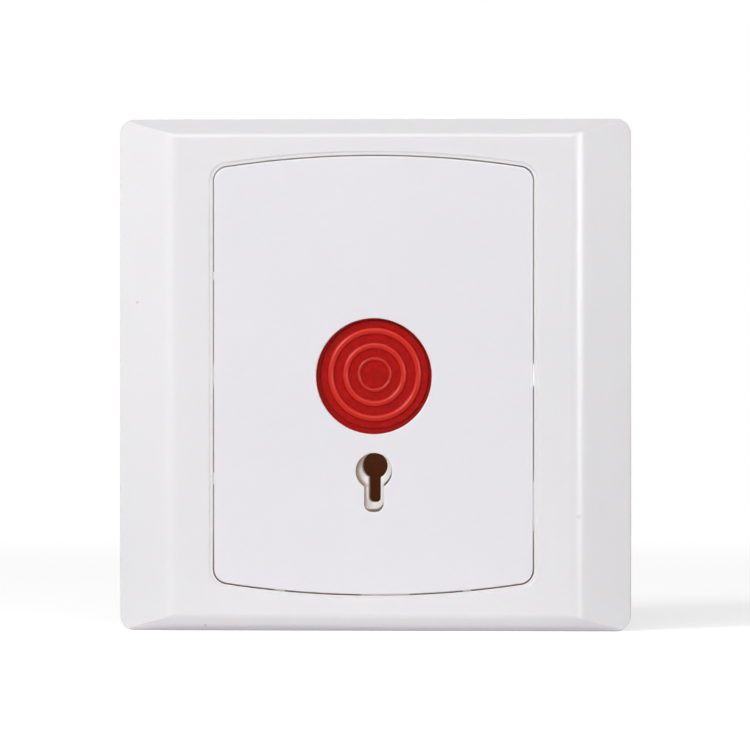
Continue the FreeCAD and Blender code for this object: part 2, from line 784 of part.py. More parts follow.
def button_cap():
    """Turned about its axis: ringed disc, flange behind the panel, skirt and hub."""
    section = [Part.LineSegment(at(0, button_face, 0), at(ridges[0][0], button_face, 0))]
    for inner, outer, height in ridges:
        crest = at((inner + outer) / 2, button_face - height, 0)
        section.append(Part.Arc(at(inner, button_face, 0), crest, at(outer, button_face, 0)))
    r = button_edge_radius
    k = r * (1 - math.sqrt(0.5))
    rounding = ((button_radius - r, button_face), (button_radius - k, button_face + k),
                (button_radius, button_face + r))
    section.append(Part.Arc(*[at(x, y, 0) for x, y in rounding]))
    skirt_end = button_flange_front + button_skirt_length
    inside = button_flange_radius - button_skirt_wall
    pilot = cap_screw[0] + screw_fit
    corners = [
        (button_radius, button_flange_front),
        (button_flange_radius, button_flange_front),
        (button_flange_radius, skirt_end),
        (inside, skirt_end),
        (inside, disc_rear),
        (hub_radius, disc_rear),
        (hub_radius, hub_end),
        (pilot, hub_end),
        (pilot, disc_rear + hub_roof),
        (0, disc_rear + hub_roof),
    ]
    for (x0, y0), (x1, y1) in zip(corners, corners[1:]):
        section.append(Part.LineSegment(at(x0, y0, 0), at(x1, y1, 0)))
    cap = Part.Face(closed(section)).revolve(at(0, 0, 0), at(0, 1, 0), 360)
    cap.translate(at(axis_x, 0, axis_z))
    return cap


def button_plunger():
    flange = rod(plunger_flange_radius, hub_end, plunger_rear, axis_x, axis_z)
    rim = [e for e in flange.Edges if e.Closed and e.CenterOfMass.y > plunger_rear - same]
    flange = flange.makeChamfer(plunger_chamfer, rim)
    ring_radius = hub_radius + touch_gap
    ring_front = hub_end - plunger_ring_height
    ring = rod(ring_radius + plunger_ring_wall, ring_front, hub_end + bite, axis_x, axis_z)
    ring = ring.cut(rod(ring_radius, ring_front - past, hub_end, axis_x, axis_z))
    stem = rod(stem_radius, plunger_rear - bite, stem_end, axis_x, axis_z)
    x0 = axis_x + arm_x - arm_width / 2
    x1 = x0 + arm_width
    root = block(x0, x1, arm_rear - arm_wall, plunger_rear, arm_low_z, arm_root_z)
    arm = block(x0, x1, arm_rear - arm_wall, arm_rear, arm_low_z, arm_top_z)
    nub_y = pusher_rest - nub_radius
    low, high = switch_z - strip_width / 2, switch_z + strip_width / 2
    nub = upright_rod(nub_radius, low, high, axis_x + arm_x, nub_y)
    nub_front = nub_y - nub_radius - past
    nub = nub.cut(block(x0 - past, x1 + past, nub_front, arm_rear - arm_wall / 2, low, high))
    plunger = joined(flange, ring, stem, root, arm, nub)
    plunger = plunger.cut(clearance_hole(cap_screw, hub_end - past, stem_seat, axis_x, axis_z))
    return plunger.cut(rod(stem_bore, stem_seat, stem_end + past, axis_x, axis_z))


def return_spring():
    """Coil round the sleeve, from the plunger's flange to the housing's deck, swept along a helix
    made of about quarter turns."""
    front = plunger_rear + touch_gap + spring_wire / 2
    rear = deck_front - touch_gap - spring_wire / 2
    pitch = (rear - front) / spring_turns
    pieces = math.ceil(4 * spring_turns)
    step = (rear - front) / pieces
    helix = []
    for n in range(pieces):
        piece = Part.makeHelix(pitch, step, spring_radius)
        piece.rotate(at(0, 0, 0), at(0, 0, 1), 360 * n * spring_turns / pieces)
        piece.translate(at(0, 0, n * step))
        helix += piece.Edges
    start = at(spring_radius, 0, 0)
    way = at(0, 2 * math.pi * spring_radius, pitch)
    ring = Part.Wire(Part.makeCircle(spring_wire / 2, start, way))
    coil = Part.Wire(helix).makePipeShell([ring], True, True)
    coil.rotate(at(0, 0, 0), at(1, 0, 0), -90)
    coil.translate(at(axis_x, front, axis_z))
    return coil


def catch_spring():
    """Strip of spring steel. Its bump lies behind the plunger's flange at rest, and in front of it
    once the button has been pressed home."""
    low_x = catch_strip_x - catch_strip / 2
    x0, _ = from_axis((low_x, 0))
    foot_low = catch_foot_z - catch_foot_height / 2
    foot_high = catch_foot_z + catch_foot_height / 2
    foot = block(x0, x0 + catch_foot_length, deck_front - catch_strip, deck_front, foot_low, foot_high)
    upright = block(x0, x0 + catch_strip, catch_front, deck_front, foot_low, foot_high)
    half_tip = catch_tip_length / 2
    places = [
        (catch_strip_x, foot_low),
        (catch_strip_x, catch_ramp_z),
        (catch_tip_x, half_tip),
        (catch_tip_x, -half_tip),
        (catch_strip_x, -catch_ramp_z),
        (catch_strip_x, strip_end_z),
    ]
    strip = bar([from_axis(p) for p in places], catch_strip, catch_front, catch_front + catch_depth)
    spring = joined(foot, upright, strip)
    hole = rod(catch_screw[0] + touch_gap, deck_front - past, deck_front + past, *catch_screw_place)
    return spring.cut(hole)


def reset_lever():
    """Bell crank: the key's bit lifts its low end, and its high end pushes the catch aside."""
    rear = lever_front + lever_wall
    middle = from_key(pivot)
    bend = from_key(elbow)
    low_arm = bar([middle, from_key(key_end)], lever_width, lever_front, rear)
    high_arm = bar([middle, bend, (bend[0], axis_z + catch_end_z)], lever_width, lever_front, rear)
    boss = rod(lever_boss_radius, lever_front, rear, *middle)
    lever = joined(boss, low_arm, high_arm)
    return lever.cut(rod(pivot_radius + running_fit, lever_front - past, rear + past, *middle))


def reset_lever_pin():
    place = from_key(pivot)
    head_rear = lever_front - hook_gap
    head = rod(pivot_head_radius, head_rear - pivot_head, head_rear, *place)
    return joined(head, rod(pivot_radius, head_rear - bite, pivot_post_front + pivot_grip, *place))


def micro_switch_case():
    half = switch_width / 2
    x1 = switch_left_x + switch_length
    case = block(switch_left_x, x1, switch_front, board_front, switch_z - half, switch_z + half)
    ear_inner = knuckle_width / 2 + hook_gap
    ear_x = hinge_x + switch_hinge
    ear_y = hinge_y - ear_height
    for s in (-1, 1):
        reach = sorted((switch_z + s * ear_inner, switch_z + s * half))
        case = case.fuse(block(switch_left_x, ear_x, ear_y, switch_front + bite, *reach))
    low, high = switch_z - ear_inner, switch_z + ear_inner
    case = case.cut(upright_rod(knuckle_radius + hook_gap, low, high, hinge_x, hinge_y))
    low, high = switch_z - half - past, switch_z + half + past
    case = case.cut(upright_rod(switch_pin_radius + screw_fit, low, high, hinge_x, hinge_y))
    bore = rod(switch_button_radius + running_fit, switch_front - past, switch_front + switch_button_length,
               hinge_x + switch_button, switch_z)
    case = case.cut(bore)
    for x in lead_places:
        case = case.cut(lead(x, screw_fit))
    return case.removeSplitter()


def lead(x, grow=0.0):
    """Flat lead of the switch, through the board. Grown, it is the hole that holds it."""
    half_width = lead_width / 2 + grow
    half_wall = lead_wall / 2 + grow
    return block(x - half_width, x + half_width, board_front - lead_grip, board_rear + lead_out,
                 switch_z - half_wall, switch_z + half_wall)


def micro_switch_lever():
    """Strip with a rolled knuckle, tilted up by the button's whole travel."""
    half_knuckle = knuckle_width / 2
    half = strip_width / 2
    front = hinge_y - strip_wall / 2
    rear = hinge_y + strip_wall / 2
    low, high = switch_z - half_knuckle, switch_z + half_knuckle
    knuckle = upright_rod(knuckle_radius, low, high, hinge_x, hinge_y)
    neck = block(hinge_x, hinge_x + strip_shoulder + bite, front, rear, low, high)
    strip = block(hinge_x + strip_shoulder, hinge_x + lever_reach + strip_end, front, rear,
                  switch_z - half, switch_z + half)
    lever = joined(knuckle, neck, strip)
    lever = lever.cut(upright_rod(switch_pin_radius + running_fit, low, high, hinge_x, hinge_y))
    lever.rotate(at(hinge_x, hinge_y, 0), at(0, 0, 1), -math.degrees(lever_tilt))
    return lever


def micro_switch_pin():
    half = switch_width / 2
    return upright_rod(switch_pin_radius, switch_z - half, switch_z + half, hinge_x, hinge_y)


def micro_switch_plunger():
    front = hinge_y + strip_wall / 2 - switch_button * math.tan(lever_tilt) + switch_button_gap
    pin = rod(switch_button_radius, front, front + switch_button_length, hinge_x + switch_button, switch_z)
    top = [e for e in pin.Edges if e.Closed and e.CenterOfMass.y < front + same]
    return pin.makeFillet(switch_button_round, top)


def micro_switch_leads():
    return group([lead(x) for x in lead_places])


def circuit_board():
    width = housing_width - 2 * housing_wall - 2 * board_margin
    height = housing_height - 2 * housing_wall - 2 * board_margin
    board = rounded(width, height, board_corner, board_front, board_rear)
    for x, z in corner_posts:
        board = board.cut(clearance_hole(rear_screw, board_front - past, board_rear + past, x, z))
    for x, z in board_posts:
        board = board.cut(clearance_hole(board_screw, board_front - past, board_rear + past, x, z))
    for x in lead_places:
        board = board.cut(lead(x, touch_gap))
    for x in way_places:
        board = board.cut(terminal_pin_at(x, touch_gap))
    return board


def terminal_pin_at(x, grow=0.0):
    """Square pin under a terminal's clamp, through the board. Grown, it is its hole."""
    half = terminal_pin / 2 + grow
    front = board_front - lead_out
    return block(x - half, x + half, front, clamp_front, way_z - half, way_z + half)


def terminal_pins():
    return group([terminal_pin_at(x) for x in way_places])


def solder_joint(x, z, seat, way, pin):
    cone = Part.makeCone(solder_radius, solder_tip_radius, solder_height, at(x, seat, z), at(0, way, 0))
    return cone.cut(pin)


def solder_joints():
    joints = [solder_joint(x, switch_z, board_rear, 1, lead(x)) for x in lead_places]
    joints += [solder_joint(x, way_z, board_front, -1, terminal_pin_at(x)) for x in way_places]
    return group(joints)


def terminal_block():
    half = ways * lead_pitch / 2
    body = block(block_x - half, block_x + half, board_rear, block_rear, block_low_z, block_high_z)
    body = softened(body, block_edge_radius, block_rear)
    half_clamp = clamp_width / 2 + clamp_fit
    entry_y = (clamp_front + clamp_rear) / 2
    for x in way_places:
        body = body.cut(block(x - half_clamp, x + half_clamp, clamp_front, clamp_rear + clamp_fit,
                              block_low_z + block_wall, block_high_z - block_wall))
        body = body.cut(block(x - entry_width / 2, x + entry_width / 2, entry_y - entry_height / 2,
                              entry_y + entry_height / 2, block_low_z - past, way_z))
        body = body.cut(rod(terminal_hole_radius, clamp_rear, block_rear + past, x, way_z))
        body = body.cut(terminal_pin_at(x, screw_fit))
    return body


def terminal_clamps():
    half = clamp_width / 2
    inner = half - clamp_wall
    low = block_low_z + block_wall + clamp_fit
    high = block_high_z - block_wall - clamp_fit
    clamps = []
    for x in way_places:
        cage = block(x - half, x + half, clamp_front, clamp_rear, low, high)
        cage = cage.cut(block(x - inner, x + inner, clamp_front + clamp_wall, clamp_rear - clamp_wall,
                              low - past, high + past))
        hole_front = clamp_rear - clamp_wall - bite
        clamps.append(cage.cut(screw_hole(terminal_screw, hole_front, clamp_rear + past, x, way_z)))
    return group(clamps)


def terminal_screws():
    seat = clamp_rear - clamp_wall + terminal_screw[3]
    return group([pan_screw(terminal_screw, x, seat, way_z, -1) for x in way_places])


def rear_cover():
    shoulder = housing_rear + lap_shoulder
    inner_width = housing_width - 2 * housing_wall
    inner_height = housing_height - 2 * housing_wall
    shell = rounded(housing_width, housing_height, housing_corner, housing_rear, rear_face)
    shell = softened(shell, rear_edge_radius, rear_face)
    shell = softened(shell, parting_edge_radius, housing_rear)
    lap = rounded(inner_width - 2 * lap_gap, inner_height - 2 * lap_gap, housing_corner / 2,
                  housing_rear - lap_depth, housing_rear + bite)
    narrow = rounded(inner_width - 2 * (lap_gap + lap_wall), inner_height - 2 * (lap_gap + lap_wall),
                     housing_corner / 4, housing_rear - lap_depth - past, shoulder)
    wide = rounded(housing_width - 2 * rear_wall, housing_height - 2 * rear_wall, housing_corner / 2,
                   shoulder - bite, rear_face - rear_wall)
    cover = shell.fuse(lap).cut(narrow).cut(wide)
    for x, z in corner_posts:
        cover = cover.fuse(rod(tube_radius, housing_rear - lap_depth, rear_face, x, z))
    for x, z in corner_posts:
        cover = cover.cut(clearance_hole(rear_screw, board_front, rear_face, x, z))
        cover = cover.cut(rod(rear_screw[1] + head_gap, rear_seat, rear_face + past, x, z))
    half = ways * lead_pitch / 2 + window_gap
    cover = cover.cut(block(block_x - half, block_x + half, rear_face - 2 * rear_wall, rear_face + past,
                            block_low_z - window_gap, block_high_z + window_gap))
    cover = cover.cut(block(block_x - half, block_x + half, shoulder, shoulder + wire_window,
                            -housing_height, -housing_height / 2 + 2 * rear_wall))
    return cover.removeSplitter()


def catch_spring_screw():
    x, z = catch_screw_place
    return pan_screw(catch_screw, x, deck_front - catch_strip, z)


def screws(size, places, seat, way=1):
    return group([pan_screw(size, x, seat, z, way) for x, z in places])


nodes = {
    "outer_frame": outer_frame(),
    "centre_panel": centre_panel(),
    "mounting_plate": mounting_plate(),
    "mechanism_housing": mechanism_housing(),
    "mechanism_cover": mechanism_cover(),
    "button_cap": button_cap(),
    "button_plunger": button_plunger(),
    "cap_screw": pan_screw(cap_screw, axis_x, stem_seat, axis_z, -1),
    "return_spring": return_spring(),
    "catch_spring": catch_spring(),
    "catch_spring_screw": catch_spring_screw(),
    "reset_lever": reset_lever(),
    "reset_lever_pin": reset_lever_pin(),
    "micro_switch_case": micro_switch_case(),
    "micro_switch_lever": micro_switch_lever(),
    "micro_switch_lever_pin": micro_switch_pin(),
    "micro_switch_plunger": micro_switch_plunger(),
    "micro_switch_leads": micro_switch_leads(),
    "circuit_board": circuit_board(),
    "solder_joints": solder_joints(),
    "terminal_block": terminal_block(),
    "terminal_pins": terminal_pins(),
    "terminal_clamps": terminal_clamps(),
    "terminal_screws": terminal_screws(),
    "rear_cover": rear_cover(),
    "rear_cover_screws": screws(rear_screw, corner_posts, rear_seat, -1),
    "board_screws": screws(board_screw, board_posts, board_rear, -1),
    "mechanism_cover_screws": screws(cover_screw, corner_posts, cover_seat),
    "housing_screws": screws(housing_screw, housing_screws, flange_front),
}

os.makedirs("parts", exist_ok=True)
for name, shape in nodes.items():
    shape.exportStep("parts/" + name + ".step")
    state = "valid" if shape.isValid() else "NOT VALID"
    print(name, len(shape.Solids), "solids,", round(shape.Volume / 1000, 3), "cm3,", state)
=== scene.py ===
import bmesh
import bpy
import json
import math
import numpy as np
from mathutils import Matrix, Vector


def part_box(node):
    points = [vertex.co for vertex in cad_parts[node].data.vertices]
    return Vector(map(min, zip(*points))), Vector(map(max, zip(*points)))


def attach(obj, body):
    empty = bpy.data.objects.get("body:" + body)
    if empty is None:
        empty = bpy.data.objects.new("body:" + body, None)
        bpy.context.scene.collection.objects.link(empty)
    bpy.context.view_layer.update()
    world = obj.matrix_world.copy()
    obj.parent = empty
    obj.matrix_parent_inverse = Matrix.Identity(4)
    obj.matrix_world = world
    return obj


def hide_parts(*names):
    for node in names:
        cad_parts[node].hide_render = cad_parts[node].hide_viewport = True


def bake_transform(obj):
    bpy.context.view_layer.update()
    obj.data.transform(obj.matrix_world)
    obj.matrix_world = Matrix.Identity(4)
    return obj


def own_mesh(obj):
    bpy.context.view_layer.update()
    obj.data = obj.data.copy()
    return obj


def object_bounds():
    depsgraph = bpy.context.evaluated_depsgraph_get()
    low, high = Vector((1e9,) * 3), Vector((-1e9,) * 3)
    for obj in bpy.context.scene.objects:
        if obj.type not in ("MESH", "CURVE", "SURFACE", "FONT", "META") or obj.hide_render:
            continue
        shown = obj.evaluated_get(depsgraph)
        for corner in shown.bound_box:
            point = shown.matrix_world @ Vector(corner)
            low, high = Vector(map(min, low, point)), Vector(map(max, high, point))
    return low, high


# Looks of a wall-mounted panic button: white bevelled frame, barrel-shaped panel, red ringed button
# and a keyhole. Metres in the scene; the dictionaries are in millimetres.

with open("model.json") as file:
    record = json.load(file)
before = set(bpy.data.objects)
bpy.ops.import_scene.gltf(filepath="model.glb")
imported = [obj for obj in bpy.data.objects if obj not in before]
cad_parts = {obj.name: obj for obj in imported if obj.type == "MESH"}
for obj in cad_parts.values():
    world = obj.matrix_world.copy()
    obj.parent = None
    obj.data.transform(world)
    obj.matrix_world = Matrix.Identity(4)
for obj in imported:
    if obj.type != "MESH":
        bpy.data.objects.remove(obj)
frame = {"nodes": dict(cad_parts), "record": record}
cadLow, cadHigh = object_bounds()
nodes = frame["nodes"]
mm = 0.001
print("frame loaded:", len(nodes), "nodes")


# Small helpers

def toLinear(hexColour):
    parts = [int(hexColour[i:i + 2], 16) / 255 for i in (0, 2, 4)]
    return [c / 12.92 if c <= 0.04045 else ((c + 0.055) / 1.055) ** 2.4 for c in parts] + [1.0]


def addNode(tree, kind, settings=None, links=None):
    # one node; a setting's key is a socket's name or number, or else a property of the node
    # (a Mix node's two numbers are its sockets 2 and 3, and its two colours are 6 and 7)
    node = tree.nodes.new("ShaderNode" + kind)
    for key, value in (settings or {}).items():
        if isinstance(key, int) or key in node.inputs:
            node.inputs[key].default_value = value
        else:
            setattr(node, key, value)
    for key, source in (links or {}).items():
        tree.links.new(source, node.inputs[key])
    return node


def addObject(name, data):
    item = bpy.data.objects.new(name, data)
    bpy.context.scene.collection.objects.link(item)
    return item


def newMaterial(name, settings):
    # empty material with a Principled shader; what is the same all over is set on its own sockets
    material = bpy.data.materials.new(name)
    material.use_nodes = True
    tree = material.node_tree
    tree.nodes.clear()
    shader = addNode(tree, "BsdfPrincipled", settings)
    addNode(tree, "OutputMaterial", links={"Surface": shader.outputs["BSDF"]})
    place = addNode(tree, "TexCoord").outputs["Object"]
    return material, tree, shader, place


def mixColours(tree, share, first, second):
    # first where the share is 0, second where it is 1; each is a hex colour or a socket
    settings = {"data_type": "RGBA"}
    links = {0: share}
    for number, colour in ((6, first), (7, second)):
        if isinstance(colour, str):
            settings[number] = toLinear(colour)
        else:
            links[number] = colour
    return addNode(tree, "Mix", settings, links).outputs[2]


def noise(tree, place, size, detail=2.0, stretch=(1, 1, 1)):
    # soft random pattern, 0 to 1, with cells of this size in mm, longer along a stretched axis
    scaled = addNode(tree, "Mapping", {"Scale": [1 / s for s in stretch]}, {"Vector": place})
    settings = {"Scale": 1 / (size * mm), "Detail": detail}
    return addNode(tree, "TexNoise", settings, {"Vector": scaled.outputs[0]}).outputs["Fac"]


def spread(tree, value, low, high, fromLow=0.3, fromHigh=0.7):
    # the middle of a noise's range, spread from low to high
    limits = {"From Min": fromLow, "From Max": fromHigh, "To Min": low, "To Max": high}
    return addNode(tree, "MapRange", limits, {"Value": value}).outputs["Result"]


def awayFrom(tree, place, x, z):
    # distance from the line through (x, z) in mm that runs along Y
    flat = addNode(tree, "VectorMath", {"operation": "MULTIPLY", 1: (1, 0, 1)}, {0: place}).outputs[0]
    line = {"operation": "DISTANCE", 1: (x * mm, 0, z * mm)}
    return addNode(tree, "VectorMath", line, {0: flat}).outputs["Value"]


def relief(tree, height, depth, below=None):
    # bump of this depth in mm, over another one if it is given
    links = {"Height": height}
    if below:
        links["Normal"] = below
    return addNode(tree, "Bump", {"Distance": depth * mm, "Strength": 1.0}, links).outputs["Normal"]


# Plastics

def mouldedPlastic(name, look):
    # colour that drifts slightly, a fine mould texture, a slow waviness of the wall, uneven gloss;
    # the grain of a real mould is 0.05 to 0.1 mm wide, and is drawn a few times coarser here so that
    # it shows
    sockets = {
        "ior": "IOR", "specular": "Specular IOR Level", "sink": "Subsurface Weight",
        "sinkByColour": "Subsurface Radius",
    }
    settings = {socket: look[key] for key, socket in sockets.items() if key in look}
    if "sinkDepth" in look:
        settings["Subsurface Scale"] = look["sinkDepth"] * mm
    material, tree, bsdf, place = newMaterial(name, settings)
    drift = spread(tree, noise(tree, place, look["driftSize"], detail=3.0), 0, 1)
    tree.links.new(mixColours(tree, drift, look["colour"], look["second"]), bsdf.inputs["Base Color"])
    gloss = noise(tree, place, look["glossSize"], detail=4.0)
    tree.links.new(spread(tree, gloss, *look["roughness"]), bsdf.inputs["Roughness"])
    below = None
    if "roundedEdge" in look:
        below = addNode(tree, "Bevel", {"samples": 6, "Radius": look["roundedEdge"] * mm}).outputs[0]
    wave = relief(tree, noise(tree, place, look["waveSize"], detail=1.0), look["waveDepth"], below)
    grain = relief(tree, noise(tree, place, look["grainSize"], detail=3.0), look["grainDepth"], wave)
    tree.links.new(grain, bsdf.inputs["Normal"])
    return material, tree, bsdf, place


frameLook = {
    "colour": "E8E6E8", "second": "E6E5E7", "driftSize": 22, "ior": 1.53,
    "roughness": (0.24, 0.26), "glossSize": 12, "waveSize": 16, "waveDepth": 0.02,
    "grainSize": 0.35, "grainDepth": 0.0012,
    "roundedEdge": 0.35,     # radius that the shading gives the edges, such as the mitres
    # light that goes into the plastic: how much, how deep, and shares of that depth for red, green, blue
    "sink": 0.5, "sinkDepth": 0.7, "sinkByColour": (1.0, 0.82, 0.66),
    # painted shade in the seam, brownish: it comes in between the first two depths, goes out between the
    # other two, and stays inside a half width and a half height; a painted glow goes with it, as if
    # daylight soaked through the plastic; the two Low colours are for the bottom of the seam
    "paintedShade": "A08A78", "paintedShadeShare": 0.62, "paintedShadeStart": (-8.35, -7.9), "paintedShadeEnd": (-5.7, -5.4),
    "inside": (27.4, 38.3),
    "paintedShadeLow": "7D4F2A", "paintedGlowColour": "DAD4D0", "paintedGlowLow": "C68A54", "paintedGlow": 0.04,
    # dirt specks: x, z, radius in mm and how dark
    "dirt": "7A5636",
    "specks": ((-39.9, 12.2, 0.3, 0.24), (-28.4, -42.0, 0.3, 0.26), (34.4, -23.6, 0.5, 0.13)),
}
lowLook = {"from": -37, "to": -25, "paintedGlowShare": 0.35}    # heights between which the browner painted shade at the bottom ends, and the share of painted glow left there


def dirtSpecks(tree, colour, place, look):
    # a spot of dirt round each speck's line along Y, full to half its radius and gone at the whole
    for x, z, radius, darkness in look["specks"]:
        share = spread(tree, awayFrom(tree, place, x, z), darkness, 0, radius / 2 * mm, radius * mm)
        colour = mixColours(tree, share, colour, look["dirt"])
    return colour


def paintedShadeByDepth(tree, colour, place, look):
    # painted shade: a brownish darkening on the walls of the seam and the holes, more of it further in,
    # and a painted glow on those walls, as if daylight soaked through the white plastic, as a colour and a
    # strength
    part = addNode(tree, "SeparateXYZ", links={0: place}).outputs
    startFrom, startTo = look["paintedShadeStart"]
    endFrom, endTo = look["paintedShadeEnd"]
    share = spread(tree, part["Y"], 0, look["paintedShadeShare"], startFrom * mm, startTo * mm)
    reach = spread(tree, part["Y"], 1, 0, endFrom * mm, endTo * mm)
    share = addNode(tree, "Math", {"operation": "MULTIPLY"}, {0: share, 1: reach}).outputs[0]
    if "inside" in look:
        for axis, limit in zip("XZ", look["inside"]):
            size = addNode(tree, "Math", {"operation": "ABSOLUTE"}, {0: part[axis]}).outputs[0]
            within = addNode(tree, "Math", {"operation": "LESS_THAN", 1: limit * mm}, {0: size}).outputs[0]
            share = addNode(tree, "Math", {"operation": "MULTIPLY"}, {0: share, 1: within}).outputs[0]
    # painted shade: browner along the bottom, where less light comes through, with less painted glow there
    low = spread(tree, part["Z"], 1, 0, lowLook["from"] * mm, lowLook["to"] * mm)
    paintedShade = mixColours(tree, low, look["paintedShade"], look["paintedShadeLow"])
    full = look["paintedGlow"] / look["paintedShadeShare"]
    paintedGlow = spread(tree, low, full, full * lowLook["paintedGlowShare"], 0, 1)
    paintedGlow = addNode(tree, "Math", {"operation": "MULTIPLY"}, {0: share, 1: paintedGlow}).outputs[0]
    glowTint = mixColours(tree, low, look["paintedGlowColour"], look["paintedGlowLow"])
    return mixColours(tree, share, colour, paintedShade), glowTint, paintedGlow


# puts the painted shade into the base colour and the painted glow into the emission
def paintedShadeAndGlow(tree, shader, colour, glowTint, paintedGlow):
    tree.links.new(colour, shader.inputs["Base Color"])
    tree.links.new(glowTint, shader.inputs["Emission Color"])
    tree.links.new(paintedGlow, shader.inputs["Emission Strength"])


def frameMaterial(look):
    # injection-moulded ABS, satin: an even off-white that goes soft and bright along rounded edges
    material, tree, bsdf, place = mouldedPlastic("mouldedAbsFrame", look)
    clean = bsdf.inputs["Base Color"].links[0].from_socket
    dirty = dirtSpecks(tree, clean, place, look)
    paintedShadeAndGlow(tree, bsdf, *paintedShadeByDepth(tree, dirty, place, look))
    return material


def panelMaterial(look):
    # as the frame, a touch cooler; browner painted shade on the keyhole's walls than along the seam, and a
    # painted glow on both
    material, tree, bsdf, place = mouldedPlastic("mouldedAbsPanel", look)
    clean = bsdf.inputs["Base Color"].links[0].from_socket
    away = awayFrom(tree, place, 0, 0)
    atKeyhole, atSeam = (spread(tree, away, 0, 1, near * mm, far * mm) for near, far in look["zones"])
    holeColour, holeGlowTint, holePaintedGlow = paintedShadeByDepth(tree, clean, place, look)
    seamColour, seamGlowTint, seamPaintedGlow = paintedShadeByDepth(tree, clean, place, {**look, **look["seam"]})
    holePaintedGlow = addNode(tree, "Math", {"operation": "MULTIPLY"}, {0: holePaintedGlow, 1: atKeyhole}).outputs[0]
    colour = mixColours(tree, atSeam, holeColour, seamColour)
    glowTint = mixColours(tree, atSeam, holeGlowTint, seamGlowTint)
    paintedGlow = addNode(tree, "Mix", links={0: atSeam, 2: holePaintedGlow, 3: seamPaintedGlow}).outputs[0]
    paintedShadeAndGlow(tree, bsdf, colour, glowTint, paintedGlow)
    return material


def buttonMaterial(look):
    # injection-moulded ABS: deep red, less gloss than the white parts, with a painted highlight that makes
    # its crests paler
    material, tree, bsdf, place = mouldedPlastic("mouldedRedAbs", look)
    depth = addNode(tree, "SeparateXYZ", links={0: place}).outputs["Y"]
    rubbed = spread(tree, depth, 0, 1, look["rubbedFrom"] * mm, look["rubbedTo"] * mm)
    clean = bsdf.inputs["Base Color"].links[0].from_socket
    tree.links.new(mixColours(tree, rubbed, clean, look["rubbed"]), bsdf.inputs["Base Color"])
    return material


def guideMaterial(look):
    # matt plastic with a brownish painted shadow on the guide behind the keyhole, along the panel's left
    # edge
    material, tree, bsdf, place = mouldedPlastic("sparkErodedAbsHousing", look)
    part = addNode(tree, "SeparateXYZ", links={0: place}).outputs
    away = awayFrom(tree, place, *look["keyhole"])

    def fade(value, key):
        start, end = look[key]
        return spread(tree, value, 1, 0, start * mm, end * mm)

    ring = spread(tree, away, 0, 1, look["ringFrom"] * mm, look["ringTo"] * mm)
    edge = fade(part["X"], "slotEdge")
    share = addNode(tree, "Mix", links={0: fade(part["Z"], "slotTop"), 2: ring, 3: edge}).outputs[0]
    for value, key in ((part["X"], "left"), (part["Y"], "front"), (away, "near")):
        factors = {0: share, 1: fade(value, key)}
        share = addNode(tree, "Math", {"operation": "MULTIPLY"}, factors).outputs[0]
    share = spread(tree, share, 0, look["paintedShadeShare"], 0, 1)
    clean = bsdf.inputs["Base Color"].links[0].from_socket
    tree.links.new(mixColours(tree, share, clean, look["paintedShade"]), bsdf.inputs["Base Color"])
    return material


panelLook = {
    "colour": "E8E6EA", "second": "E6E5E9", "driftSize": 22, "ior": 1.53,
    "roughness": (0.245, 0.265), "glossSize": 12, "waveSize": 13, "waveDepth": 0.015,
    "grainSize": 0.3, "grainDepth": 0.001,
    "sink": 0.5, "sinkDepth": 0.7, "sinkByColour": (1.0, 0.82, 0.66),
    # painted shade on the walls of the keyhole and the seam, brownish and darker further in, and a painted
    # glow on them
    "paintedShade": "8F6C52", "paintedShadeShare": 0.85, "paintedShadeStart": (-8.25, -7.7), "paintedShadeEnd": (-7.3, -7.15),
    "paintedShadeLow": "7D4F2A", "paintedGlowColour": "CCA384", "paintedGlowLow": "C08450", "paintedGlow": 0.16,
    # distances from the middle at which the keyhole's walls and then the seam's come in
    "zones": ((11, 12), (24.5, 25.5)),
    # what differs at the seam
    "seam": {
        # the seam's painted shade is paler and its painted glow stronger
        "paintedShade": "A89C94", "paintedShadeShare": 0.5, "paintedShadeEnd": (-5.6, -5.25),
        "paintedGlowColour": "DCD8D4", "paintedGlowLow": "C68A54", "paintedGlow": 0.6,
    },
}
plateLook = {
    "colour": "DAD9D4", "second": "D3D2CD", "driftSize": 18, "ior": 1.53,
    "roughness": (0.5, 0.62), "glossSize": 4, "waveSize": 12, "waveDepth": 0.02,
    "grainSize": 0.25, "grainDepth": 0.006,
}
housingLook = {
    "colour": "F0EFEC", "second": "ECEBE7", "driftSize": 15, "ior": 1.53,
    "roughness": (0.48, 0.6), "glossSize": 4, "waveSize": 10, "waveDepth": 0.02,
    "grainSize": 0.25, "grainDepth": 0.004,
    "sink": 0.5, "sinkDepth": 0.7, "sinkByColour": (1.0, 0.82, 0.66),
    # painted shadow, brownish: the middle of the keyhole's round part, and pairs of millimetres between
    # which it fades out
    "paintedShade": "9A6A48", "paintedShadeShare": 0.7, "keyhole": (0.1, -16.05), "ringFrom": 2.2, "ringTo": 2.8,
    "slotEdge": (-1.5, -1.05), "slotTop": (-18.9, -18.4), "left": (-1.3, 0.2), "front": (-6.2, -5.8),
    "near": (7.5, 8.0),
}
buttonLook = {
    "colour": "B00700", "second": "980300", "driftSize": 0.7, "ior": 1.52, "specular": 0.22,
    "roughness": (0.3, 0.34), "glossSize": 0.6, "waveSize": 4, "waveDepth": 0.002,
    "grainSize": 0.3, "grainDepth": 0.002,
    # the painted highlight's colour on the crests, and the two depths in the scene between which it comes
    # in
    "rubbed": "C62112", "rubbedFrom": -7.38, "rubbedTo": -7.62,
}
acetalLook = {
    "colour": "EAE8E2", "second": "E2E0D8", "driftSize": 5, "ior": 1.48,
    "roughness": (0.3, 0.4), "glossSize": 2, "waveSize": 4, "waveDepth": 0.004,
    "grainSize": 0.12, "grainDepth": 0.001, "sink": 0.15, "sinkDepth": 0.6,
}
